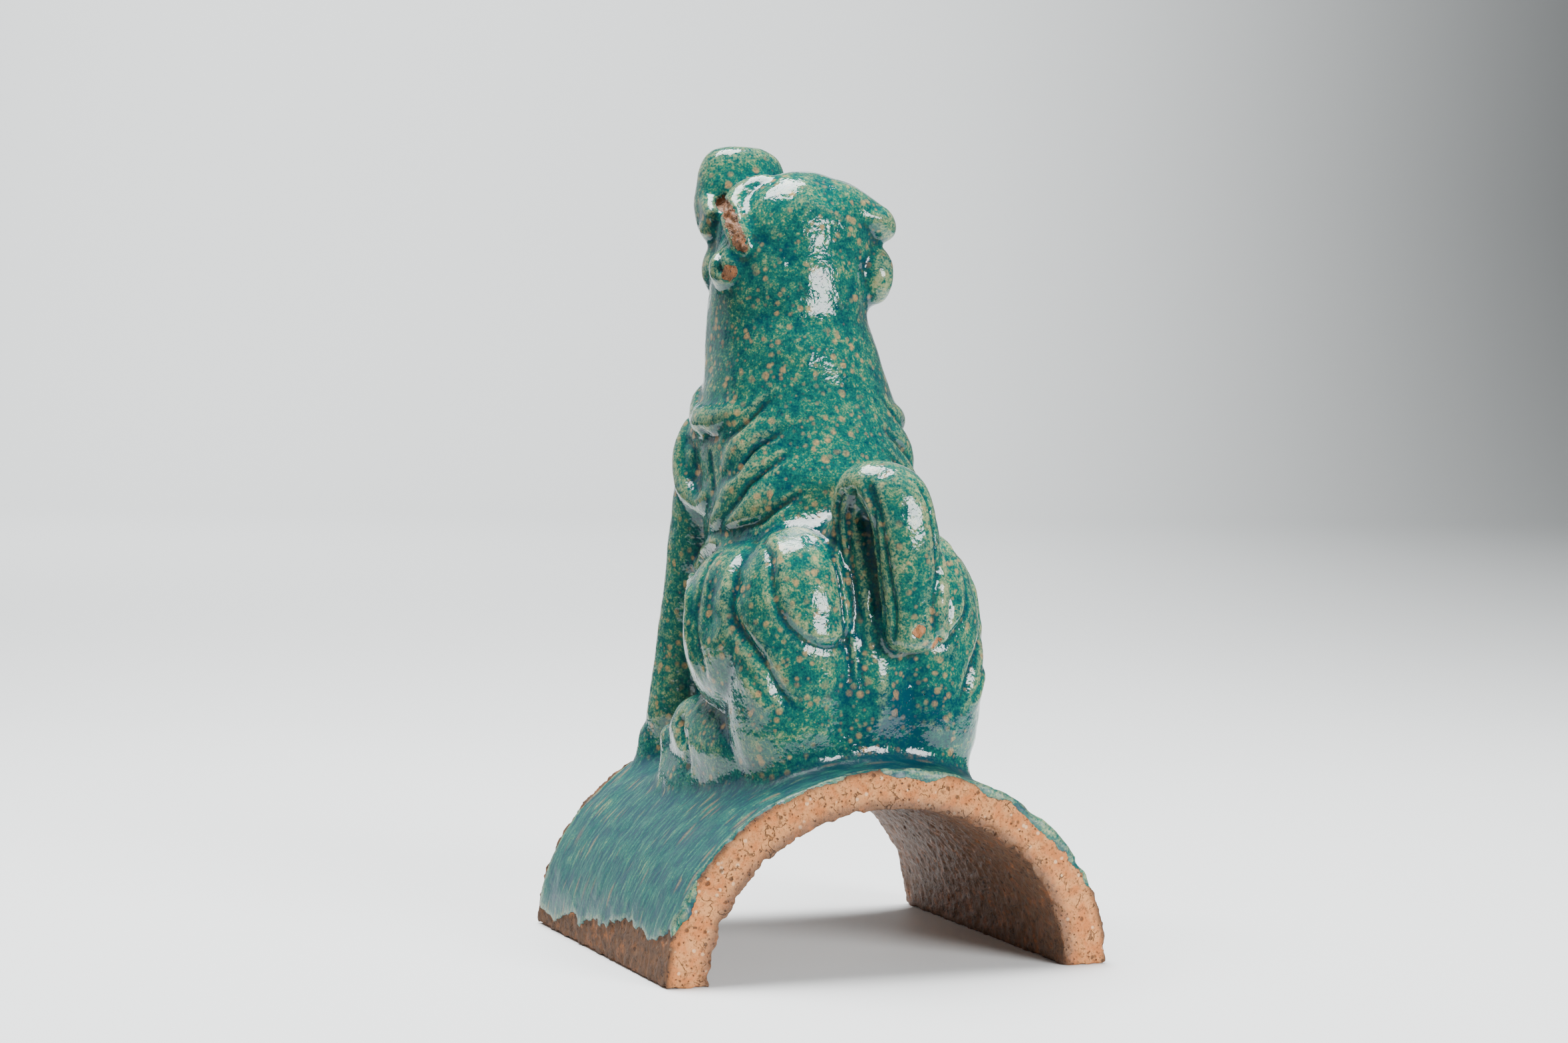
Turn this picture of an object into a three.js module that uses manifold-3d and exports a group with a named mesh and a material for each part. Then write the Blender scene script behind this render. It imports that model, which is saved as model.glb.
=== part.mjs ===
// A glazed ridge beast: a seated animal with an upturned snout, fired in one piece with the
// half-round roof tile that it sits on. Millimetres, +Z up, and the beast faces -Y.
import * as THREE from 'three';
import { LoftGeometry } from 'three/addons/geometries/LoftGeometry.js';
import { mergeVertices } from 'three/addons/utils/BufferGeometryUtils.js';
import Module from 'manifold-3d';

const wasm = await Module();
wasm.setup();

// The tile.
const tileWidth = 175;
const tileLength = 151;
const tileHeight = 76;
const crownWall = 15;
const sideWall = 18;
const archSegments = 30;

// The highest point of the snout, above the underside of the tile.
const beastHeight = 305;

// The face is turned a little to the beast's left, about an upright axis in the neck.
const faceTurn = THREE.MathUtils.degToRad(12);
const neckY = -16;

// The beast's left is +X and its right is -X.
const left = 1;
const right = -1;
const bothSides = [left, right];

// A line is drawn on the flank as seen square from the side, and on the haunch as seen from
// behind the flank.
const fromSide = 0;
const fromQuarter = THREE.MathUtils.degToRad(68);

// How deep a raised band and the tool that cuts a groove sit in the surface, as a share of
// their half height.
const bedded = 0.35;

// Turns a closed geometry into a solid that can be joined and cut.
function toSolid(geometry) {
  const bare = geometry.index ? geometry.toNonIndexed() : geometry.clone();
  bare.deleteAttribute('normal');
  bare.deleteAttribute('uv');
  const merged = mergeVertices(bare, 1e-3);
  return new wasm.Manifold(
    new wasm.Mesh({
      numProp: 3,
      vertProperties: merged.attributes.position.array,
      triVerts: new Uint32Array(merged.index.array),
    }),
  );
}

function toGeometry(solid) {
  const mesh = solid.getMesh();
  const geometry = new THREE.BufferGeometry();
  geometry.setAttribute('position', new THREE.Float32BufferAttribute(mesh.vertProperties, 3));
  geometry.setIndex(new THREE.Uint32BufferAttribute(mesh.triVerts, 1));
  geometry.computeVertexNormals();
  return geometry;
}

function join(solids) {
  return solids.reduce((all, next) => all.add(next));
}

// Skins rings of points that are centred on a path. `sizeAt` gives the half width and half depth
// at a place along the path, `wideAt` the direction of the width, and both ends close to a dome.
function skin(path, sizeAt, wideAt, { rings, sides, blunt }) {
  const sections = [];
  for (let ring = 0; ring <= rings; ring++) {
    const t = (1 - Math.cos((Math.PI * ring) / rings)) / 2;
    const dome = Math.max(Math.sqrt(1 - Math.abs(2 * t - 1) ** blunt), 0.03);
    const tangent = path.getTangent(t);
    const across = wideAt(t, tangent);
    const wide = across.addScaledVector(tangent, -across.dot(tangent)).normalize();
    const deep = tangent.clone().cross(wide);
    const centre = path.getPoint(t);
    const [halfWidth, halfDepth] = sizeAt(t);
    const section = [];
    for (let side = 0; side < sides; side++) {
      const angle = (2 * Math.PI * side) / sides;
      section.push(
        centre
          .clone()
          .addScaledVector(wide, dome * halfWidth * Math.cos(angle))
          .addScaledVector(deep, dome * halfDepth * Math.sin(angle)),
      );
    }
    sections.push(section);
  }
  return toSolid(new LoftGeometry(sections, { capStart: true, capEnd: true }));
}

// A round body along a smooth curve. Each station is [x, y, z, half width, half depth], with the
// width along `across`.
function limb(stations, options = {}) {
  const { rings = 10, sides = 14, across = new THREE.Vector3(1, 0, 0), blunt = 5 } = options;
  const path = new THREE.CatmullRomCurve3(stations.map(([x, y, z]) => new THREE.Vector3(x, y, z)));
  const size = new THREE.CatmullRomCurve3(stations.map(([, , , w, d]) => new THREE.Vector3(w, d, 0)));
  const sizeAt = (t) => size.getPoint(t).toArray();
  return skin(path, sizeAt, () => across.clone(), { rings, sides, blunt });
}

// An egg. Fullness 2 is a true ellipsoid, and more than 2 fills it out towards a box.
function egg(centre, radii, options = {}) {
  const { sides = 18, fullness = 2, frame = new THREE.Matrix4() } = options;
  const geometry = new THREE.SphereGeometry(1, sides, Math.round(sides * 0.6));
  const point = new THREE.Vector3();
  const position = geometry.attributes.position;
  for (let i = 0; i < position.count; i++) {
    point.fromBufferAttribute(position, i);
    const reach = point.toArray().reduce((sum, value) => sum + Math.abs(value) ** fullness, 0);
    point.multiplyScalar(reach ** (-1 / fullness));
    position.setXYZ(i, point.x, point.y, point.z);
  }
  geometry.scale(...radii);
  geometry.applyMatrix4(frame);
  geometry.translate(...centre);
  return toSolid(geometry);
}

// Finds the places on a body where straight level lines from outside meet it. Each place is
// [along, height], seen from the given turn behind the square side view.
function onBody(body, side, turn, places) {
  const outwards = new THREE.Vector3(side * Math.cos(turn), Math.sin(turn), 0);
  const along = new THREE.Vector3(-side * Math.sin(turn), Math.cos(turn), 0);
  const caster = new THREE.Raycaster();
  return places.map(([a, height]) => {
    const start = along.clone().multiplyScalar(a).addScaledVector(outwards, 300);
    start.z = height;
    caster.set(start, outwards.clone().negate());
    const [hit] = caster.intersectObject(body);
    return { point: hit.point, normal: hit.face.normal.clone() };
  });
}

// A band that follows a drawn line over a body, either raised on it or, as a cutter, sunk in it.
function band(body, side, turn, places, [halfWidth, halfHeight], options = {}) {
  const { rings = 10, sides = 6, lift = bedded, blunt = 4 } = options;
  const hits = onBody(body, side, turn, places);
  const points = hits.map(({ point, normal }) => point.clone().addScaledVector(normal, lift * halfHeight));
  const path = new THREE.CatmullRomCurve3(points);
  const normals = new THREE.CatmullRomCurve3(hits.map(({ normal }) => normal));
  const wideAt = (t, tangent) => tangent.clone().cross(normals.getPoint(t).normalize());
  return skin(path, () => [halfWidth, halfHeight], wideAt, { rings, sides, blunt });
}

// A petal: an egg pressed on a body, with its long way leaning by `lean` from upright.
function petal(body, side, turn, place, [halfWidth, halfLength, halfHeight], lean) {
  const [{ point, normal }] = onBody(body, side, turn, [place]);
  const level = new THREE.Vector3(0, 0, 1).cross(normal).normalize();
  const rise = normal.clone().cross(level);
  const frame = new THREE.Matrix4().makeBasis(level, rise, normal);
  frame.multiply(new THREE.Matrix4().makeRotationZ(side * lean));
  return egg(point.toArray(), [halfWidth, halfLength, halfHeight], { sides: 10, frame });
}

// The tile: a low half-round arch swept along Y, open at both ends and below.
function archSolid(halfWidth, height, length) {
  const shape = new THREE.Shape();
  shape.absellipse(0, 0, halfWidth, height, 0, Math.PI, false, 0);
  shape.closePath();
  const geometry = new THREE.ExtrudeGeometry(shape, {
    depth: length,
    bevelEnabled: false,
    curveSegments: archSegments,
  });
  geometry.rotateX(Math.PI / 2);
  geometry.translate(0, length / 2, 0);
  return toSolid(geometry);
}

// Trunk and neck in one, from the rump on the tile up to the nape.
function makeTrunk() {
  return limb(
    [
      [0, 9, 50, 47, 53],
      [0, 9, 76, 45, 51.5],
      [0, 8, 98, 43, 53],
      [0, 4, 124, 41, 55],
      [0, -6, 150, 40, 47],
      [0, -14, 175, 40, 41],
      [1, -20.5, 197, 39, 37.5],
      [2, -24.5, 216, 34.5, 36],
      [3, -28, 236, 31, 33.5],
      [2.5, -26, 254, 30.5, 29],
      [1, -26, 268, 28, 26],
      [0, -27, 279, 22, 15],
    ],
    { rings: 17, sides: 18, blunt: 14 },
  );
}

// Places a point of the face, given before the face is turned.
function onFace([across, forward, height]) {
  const x = across * Math.cos(faceTurn) + forward * Math.sin(faceTurn);
  const y = across * Math.sin(faceTurn) - forward * Math.cos(faceTurn) + neckY;
  return [x, y, height];
}

function faceLimb(stations, options) {
  const across = new THREE.Vector3(Math.cos(faceTurn), Math.sin(faceTurn), 0);
  return limb(
    stations.map(([a, forward, height, w, d]) => [...onFace([a, forward, height]), w, d]),
    { across, ...options },
  );
}

// The face's stations are [across, forward, height, half width, half depth].
const muzzle = [
  [0, 0, 268, 27, 24],
  [0, 18, 269, 25, 23],
  [0, 36, 271, 21, 21],
  [0, 50, 271, 17, 17],
];
const upturnedNose = [
  [2, 38, 268, 20, 15],
  [2, 42, 282, 21, 15],
  [2, 44, 294, 18.5, 13.5],
  [1.5, 45, beastHeight, 14.5, 11],
];
const lowerJaw = [
  [0, 2, 250, 24, 13],
  [0, 26, 247, 21, 10],
  [0, 44, 249, 15, 7],
];

function makeFace() {
  const parts = [
    faceLimb(muzzle, { rings: 6, sides: 11 }),
    faceLimb(upturnedNose, { rings: 7, sides: 12, blunt: 9 }),
    faceLimb(lowerJaw, { rings: 4, sides: 10 }),
  ];
  for (const side of bothSides) {
    parts.push(
      // eye and brow
      egg(onFace([side * 20, 35, 273]), [6, 6.5, 6], { sides: 8 }),
      faceLimb([[side * 9, 46, 284, 4, 4], [side * 19, 40, 283, 4, 4], [side * 25, 28, 277, 3, 3]], {
        rings: 3,
        sides: 6,
      }),
      // curl at the corner of the mouth
      egg(onFace([side * 17, 33, 257]), [8, 10, 12], { sides: 8 }),
    );
  }
  parts.push(
    // right and left jowl
    egg([-26.5, -13, 255], [7.5, 9.5, 12], { sides: 8 }),
    egg([31, -20, 257], [7, 9, 8], { sides: 8 }),
  );
  const nostrils = bothSides.map((side) => egg(onFace([side * 6, 57, 294]), [2.6, 3.4, 3], { sides: 6 }));
  return join(parts).subtract(join(nostrils));
}

// The beast's right ear is whole. Its left one is broken off near the root.
const rightEar = [
  [-4, -20, 289, 12, 5],
  [-16, -18, 284, 13, 7],
  [-27, -15, 276, 11, 7],
  [-35, -14, 270, 6, 5],
];
const leftEarRoot = [
  [10, -22, 291, 6, 6],
  [21, -27, 285, 6, 6],
  [26, -24, 279, 6, 6],
  [28, -15, 270, 5, 5],
  [28, -8, 263, 4, 4],
];

function makeEars() {
  const across = new THREE.Vector3(0, 1, 0);
  return join([rightEar, leftEarRoot].map((stations) => limb(stations, { rings: 6, sides: 10, across })));
}

function makeHead() {
  const frame = new THREE.Matrix4().makeRotationZ(faceTurn);
  const skull = egg([-1, -26, 267], [29, 26.5, 27.5], { sides: 18, fullness: 2.2, frame });
  const lean = new THREE.Matrix4().makeRotationX(THREE.MathUtils.degToRad(5));
  const nape = egg([1, -15, 247], [20, 19, 24], { sides: 10, fullness: 3, frame: lean });
  return join([skull, nape, makeFace(), makeEars()]);
}

function makeForeleg(side) {
  const leg = limb(
    [
      [side * 25, -32, 210, 10, 13],
      [side * 27, -38, 192, 12.5, 17],
      [side * 29.5, -46, 165, 12.5, 14],
      [side * 32, -52, 132, 11.5, 12],
      [side * 35, -56, 100, 11, 11],
      [side * 37, -58, 80, 12, 12],
      [side * 38, -58, 60, 13, 13],
    ],
    { rings: 10, sides: 12 },
  );
  const toes = [[46, -64], [38, -67], [30, -65]].map(([x, y]) =>
    egg([side * x, y, 70], [5.5, 7.5, 9], { sides: 6 }),
  );
  // the web of clay that closes the space behind the leg
  const web = [
    [side * 26, -36, 180, 6, 12],
    [side * 27, -40, 120, 6, 16],
    [side * 28, -40, 66, 6, 18],
  ];
  return join([leg, limb(web, { rings: 5, sides: 6 }), ...toes]);
}

// Haunch, thigh and foot of one side.
function makeHindLeg(side) {
  const foot = [
    [side * 38, 36, 71, 12, 14],
    [side * 41, 14, 76, 13, 17],
    [side * 43, -8, 80, 12, 16],
    [side * 43, -28, 77, 9.5, 13],
  ];
  const toes = [[49, -27, 73], [43.5, -33, 76], [37, -32, 78]].map(([x, y, z]) =>
    egg([side * x, y, z], [5, 8, 10], { sides: 6 }),
  );
  const frame = new THREE.Matrix4().makeRotationZ(-side * THREE.MathUtils.degToRad(20));
  return join([
    egg([side * 23, 31, 106], [24, 29, 54], { fullness: 2.5, sides: 14, frame }), // haunch
    egg([side * 30, 15, 122], [26.5, 31, 33], { fullness: 2.4, sides: 14 }), // thigh
    egg([side * 30, 24, 84], [16, 29, 30], { fullness: 3, sides: 9 }), // shank
    limb(foot, { rings: 6, sides: 12 }),
    egg([side * 41, -12, 64], [17, 27, 8], { fullness: 2.2, sides: 8 }), // clay spread under the foot
    ...toes,
  ]);
}

// The raised work of one side: ribbons on the shoulder, folds of skin on the flank, a thin lip
// along the front of the thigh and a petal on the haunch.
function raisedWork(body, side) {
  const folds = [
    [[-17, 203], [-24, 196], [-29, 192], [-33, 186], [-36, 179]],
    [[-14, 192], [-22, 186.5], [-29.5, 177], [-34, 171], [-38, 163], [-42, 155]],
    [[-8, 181], [-17, 175.5], [-23, 171], [-28.5, 166], [-37, 159]],
  ];
  const upperRibbon = [[-44, 211], [-36, 202], [-20, 199], [0, 203]];
  const hangingRibbon = [[-47, 200], [-46, 186], [-38, 173], [-24, 167], [-15, 172]];
  const thighLip = [
    [-33, 154],
    [-38.7, 153.8],
    [-43, 149.6],
    [-46, 143],
    [-47.8, 128],
    [-46, 112],
    [-43, 104],
  ];
  return join([
    ...folds.map((line) => band(body, side, fromQuarter, line, [5, 2.3], { rings: 5, lift: 0.1 })),
    band(body, side, fromSide, upperRibbon, [5, 3], { rings: 5 }),
    band(body, side, fromSide, hangingRibbon, [4.2, 2.8], { rings: 6 }),
    band(body, side, fromQuarter, thighLip, [1.7, 2.2], { rings: 7 }),
    petal(body, side, fromQuarter, [-5, 139], [11, 21, 4], THREE.MathUtils.degToRad(-28)),
  ]);
}

// The groove that parts the thigh from the haunch behind it.
function thighGroove(body, side) {
  const line = [[-28.8, 151], [-32, 139], [-31, 126.5], [-21, 114.5], [-14, 103], [-6, 93]];
  return band(body, side, fromQuarter, line, [2, 3], { rings: 8, lift: 0.2 });
}

// The tail rises against the back, folds over and hangs behind as a thick tongue. Each station is
// [x, y, z, half width, half depth].
const tailStations = [
  [-1, 56, 88, 4, 5],
  [-1, 56, 106, 7, 6],
  [0, 51, 130, 12, 7],
  [1.5, 48, 155, 14, 7.5],
  [1, 49, 170.5, 14, 8],
  [0, 55, 179, 13, 8],
  [-4, 63, 174.5, 12.8, 9],
  [-8, 66, 159, 12.3, 9.2],
  [-10.6, 66, 140, 11.5, 9.2],
  [-11.7, 66, 117, 11.2, 9],
];

// The clay left between the two arms of the fold.
const webStations = [
  [-1, 55, 174, 8, 8],
  [-5, 57, 150, 8, 10],
  [-7, 57, 128, 8, 9],
  [-6, 56, 116, 6, 6],
];

function makeTail() {
  const web = limb(webStations, { rings: 6, sides: 8 });
  return limb(tailStations, { rings: 16, sides: 12, blunt: 24 }).add(web);
}

// Grooves that run along the narrow faces of the tail and part it into strands. `depth` places a
// groove across such a face, from -1 on the inside of the fold to 1 on the outside.
function tailGrooves() {
  const path = new THREE.CatmullRomCurve3(tailStations.map(([x, y, z]) => new THREE.Vector3(x, y, z)));
  const size = new THREE.CatmullRomCurve3(tailStations.map(([, , , w, d]) => new THREE.Vector3(w, d, 0)));
  const across = new THREE.Vector3(1, 0, 0);
  const places = [[left, -0.45], [left, 0.35], [right, 0.1]];
  const first = 0.12;
  const last = 0.95;
  const steps = 10;
  return places.map(([side, depth]) => {
    const stations = [];
    for (let step = 0; step <= steps; step++) {
      const t = first + ((last - first) * step) / steps;
      const half = size.getPoint(t);
      const outside = across.clone().cross(path.getTangent(t)).normalize();
      const point = path.getPoint(t);
      point.addScaledVector(across, side * half.x * Math.sqrt(1 - depth * depth));
      point.addScaledVector(outside, depth * half.y);
      stations.push([...point.toArray(), 1.5, 1.5]);
    }
    return limb(stations, { rings: 11, sides: 4 });
  });
}

const vault = archSolid(tileWidth / 2 - sideWall, tileHeight - crownWall, tileLength + 20);
const tile = archSolid(tileWidth / 2, tileHeight, tileLength).subtract(vault);

const legs = bothSides.flatMap((side) => [makeForeleg(side), makeHindLeg(side)]);
const masses = join([makeTrunk(), makeHead(), ...legs]);
const target = new THREE.Mesh(toGeometry(masses));

let beast = masses;
for (const side of bothSides) {
  beast = beast.add(raisedWork(target, side)).subtract(thighGroove(target, side));
}
beast = beast.add(makeTail()).subtract(join(tailGrooves())).subtract(vault).add(tile);

const glaze = new THREE.MeshStandardMaterial({ color: 0x1f8f86, roughness: 0.12, metalness: 0 });
const ornament = new THREE.Mesh(toGeometry(beast), glaze);
ornament.name = 'ridge_beast_on_tile';

const ridgeBeast = new THREE.Group();
ridgeBeast.add(ornament);
export default ridgeBeast;
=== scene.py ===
import math

import bmesh
import bpy
import numpy as np
from mathutils import Matrix, Vector, kdtree, noise
from mathutils.bvhtree import BVHTree


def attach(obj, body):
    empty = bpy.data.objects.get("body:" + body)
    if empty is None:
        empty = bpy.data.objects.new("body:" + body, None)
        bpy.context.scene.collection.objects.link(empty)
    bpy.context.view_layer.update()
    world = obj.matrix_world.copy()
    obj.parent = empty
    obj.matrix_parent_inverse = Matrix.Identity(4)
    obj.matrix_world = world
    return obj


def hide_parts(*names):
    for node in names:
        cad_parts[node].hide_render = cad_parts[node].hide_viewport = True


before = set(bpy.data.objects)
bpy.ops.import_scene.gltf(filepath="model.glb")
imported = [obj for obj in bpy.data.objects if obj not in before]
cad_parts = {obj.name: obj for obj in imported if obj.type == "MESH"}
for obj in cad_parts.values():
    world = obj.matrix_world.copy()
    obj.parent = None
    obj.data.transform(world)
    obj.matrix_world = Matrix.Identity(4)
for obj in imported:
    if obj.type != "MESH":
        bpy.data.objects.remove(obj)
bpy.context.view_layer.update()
print("frame loaded")

mm = 0.001
left, right = 1, -1  # the beast's left is +X, and it faces -Y
bothSides = (left, right)


# Camera
view = {
    "azimuth": 158.622,  # degrees round from the beast's front
    "elevation": 3.246,
    "roll": 0.636,
    "distance": 1390.5,
    "lookAt": (0, 0, 150),
    "slideRight": -13.2,
    "slideUp": 11.25,
    "focalPixels": 5500,
    "photoWidth": 2357,
}


def placeCamera():
    a, e, r = (math.radians(view[key]) for key in ("azimuth", "elevation", "roll"))
    back = Vector((math.sin(a) * math.cos(e), -math.cos(a) * math.cos(e), math.sin(e)))
    levelRight = Vector((math.cos(a), math.sin(a), 0))
    levelUp = back.cross(levelRight)
    across = levelRight * math.cos(r) + levelUp * math.sin(r)
    up = levelUp * math.cos(r) - levelRight * math.sin(r)
    data = bpy.data.cameras.new("camera")
    camera = bpy.data.objects.new("camera", data)
    bpy.context.collection.objects.link(camera)
    data.sensor_width = 36
    data.lens = view["focalPixels"] / view["photoWidth"] * data.sensor_width
    place = Vector(view["lookAt"]) + back * view["distance"]
    place += across * view["slideRight"] + up * view["slideUp"]
    camera.matrix_world = Matrix((across, up, back)).transposed().to_4x4()
    camera.location = place * mm
    bpy.context.scene.camera = camera


placeCamera()
print("camera placed")


# Forms

# A smooth curve through knots, spaced by the square root of their distance.
class Curve:
    def __init__(self, knots):
        knots = [np.array(k, float) for k in knots]
        self.knots = [2 * knots[0] - knots[1], *knots, 2 * knots[-1] - knots[-2]]

    def at(self, t):
        spans = len(self.knots) - 3
        place = min(max(t, 0), 1) * spans
        span = min(int(place), spans - 1)
        s = place - span
        p0, p1, p2, p3 = self.knots[span:span + 4]
        d0, d1, d2 = (max(np.linalg.norm(b - a), 1e-4) ** 0.5 for a, b in ((p0, p1), (p1, p2), (p2, p3)))
        t1 = ((p1 - p0) / d0 - (p2 - p0) / (d0 + d1) + (p2 - p1) / d1) * d1
        t2 = ((p2 - p1) / d1 - (p3 - p1) / (d1 + d2) + (p3 - p2) / d2) * d1
        return p1 + t1 * s + (3 * (p2 - p1) - 2 * t1 - t2) * s * s + (2 * (p1 - p2) + t1 + t2) * s ** 3

    def tangent(self, t):
        step = 1e-3
        return Vector(self.at(t + step) - self.at(t - step)).normalized()


# Each form is made alone and then poured into the body, which keeps every step short.
def pour(form, bm):
    bmesh.ops.recalc_face_normals(form, faces=form.faces)
    mesh = bpy.data.meshes.new("form")
    form.to_mesh(mesh)
    form.free()
    bm.from_mesh(mesh)
    bpy.data.meshes.remove(mesh)


# Skins rings along a path: a circle is shaped by a matrix, and each next ring is extruded from it.
def addSkin(bm, path, sizeAt, wideAt, rings, sides, blunt):
    form = bmesh.new()
    last = None
    for ring in range(rings + 1):
        t = (1 - math.cos(math.pi * ring / rings)) / 2
        dome = max(1 - abs(2 * t - 1) ** blunt, 0.001) ** 0.5
        along = path.tangent(t)
        wide = wideAt(t, along)
        wide = (wide - along * wide.dot(along)).normalized()
        deep = along.cross(wide)
        halfWidth, halfDepth = sizeAt(t)
        columns = (wide * halfWidth * dome, deep * halfDepth * dome, along)
        shape = Matrix(columns).transposed().to_4x4()
        shape.translation = Vector(path.at(t))
        if last is None:
            first = bmesh.ops.create_circle(form, cap_ends=True, segments=sides, radius=1, matrix=shape)
            edges = list({e for v in first["verts"] for e in v.link_edges})
        else:
            grown = bmesh.ops.extrude_edge_only(form, edges=edges)["geom"]
            verts = [g for g in grown if isinstance(g, bmesh.types.BMVert)]
            fresh = set(verts)
            edges = [g for g in grown if isinstance(g, bmesh.types.BMEdge) and set(g.verts) <= fresh]
            bmesh.ops.transform(form, matrix=shape @ last.inverted(), verts=verts)
        last = shape
    bmesh.ops.contextual_create(form, geom=edges)
    pour(form, bm)


# A round body along a curve. Each station is (x, y, z, half width, half depth).
def addLimb(bm, stations, rings=30, sides=36, across=(1, 0, 0), blunt=5):
    path = Curve([s[:3] for s in stations])
    size = Curve([s[3:] for s in stations])
    addSkin(bm, path, size.at, lambda t, along: Vector(across), rings, sides, blunt)


# An egg; fullness over 2 fills it out towards a box.
def addEgg(bm, centre, radii, fullness=2, turned=None, sides=36):
    form = bmesh.new()
    verts = bmesh.ops.create_uvsphere(form, u_segments=sides, v_segments=sides // 2, radius=1)["verts"]
    for v in verts:
        v.co *= sum(abs(c) ** fullness for c in v.co) ** (-1 / fullness)
    shape = Matrix.Translation(centre) @ (turned or Matrix.Identity(4)) @ Matrix.Diagonal((*radii, 1))
    bmesh.ops.transform(form, matrix=shape, verts=verts)
    pour(form, bm)


# Casts level lines on a body from outside. Each place is (along, height) as seen from `turn`
# degrees behind the square side view.
def castOn(tree, side, turn, places):
    a = math.radians(turn)
    outwards = Vector((side * math.cos(a), math.sin(a), 0))
    along = Vector((-side * math.sin(a), math.cos(a), 0))
    hits = []
    for place, height in places:
        start = along * place + outwards * 300
        start.z = height
        point, normal = tree.ray_cast(start, -outwards)[:2]
        if point is not None:
            hits.append((point, normal))
    return hits


# A raised band along a line that is cast on a body. `lift` and `sunk` are in half heights, and
# `sunk` buries the band's first end.
def addBand(bm, hits, halfWidth, halfHeight, lift=0.35, sunk=0.0, rings=28, sides=16, blunt=4):
    lifts = [lift - sunk * max(1 - 2.2 * i / (len(hits) - 1), 0) for i in range(len(hits))]
    path = Curve([p + n * (share * halfHeight) for (p, n), share in zip(hits, lifts)])
    normals = Curve([n for p, n in hits])
    sizeAt = lambda t: (halfWidth, halfHeight)
    wideAt = lambda t, along: along.cross(Vector(normals.at(t)).normalized())
    addSkin(bm, path, sizeAt, wideAt, rings, sides, blunt)


def toObject(bm, name):
    bmesh.ops.recalc_face_normals(bm, faces=bm.faces)
    mesh = bpy.data.meshes.new(name)
    bm.to_mesh(mesh)
    bm.free()
    piece = bpy.data.objects.new(name, mesh)
    bpy.context.collection.objects.link(piece)
    return piece


def applyModifier(piece, kind, **settings):
    modifier = piece.modifiers.new(kind.lower(), kind)
    for key, value in settings.items():
        setattr(modifier, key, value)
    bpy.context.view_layer.objects.active = piece
    bpy.ops.object.modifier_apply(modifier=modifier.name)


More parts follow.
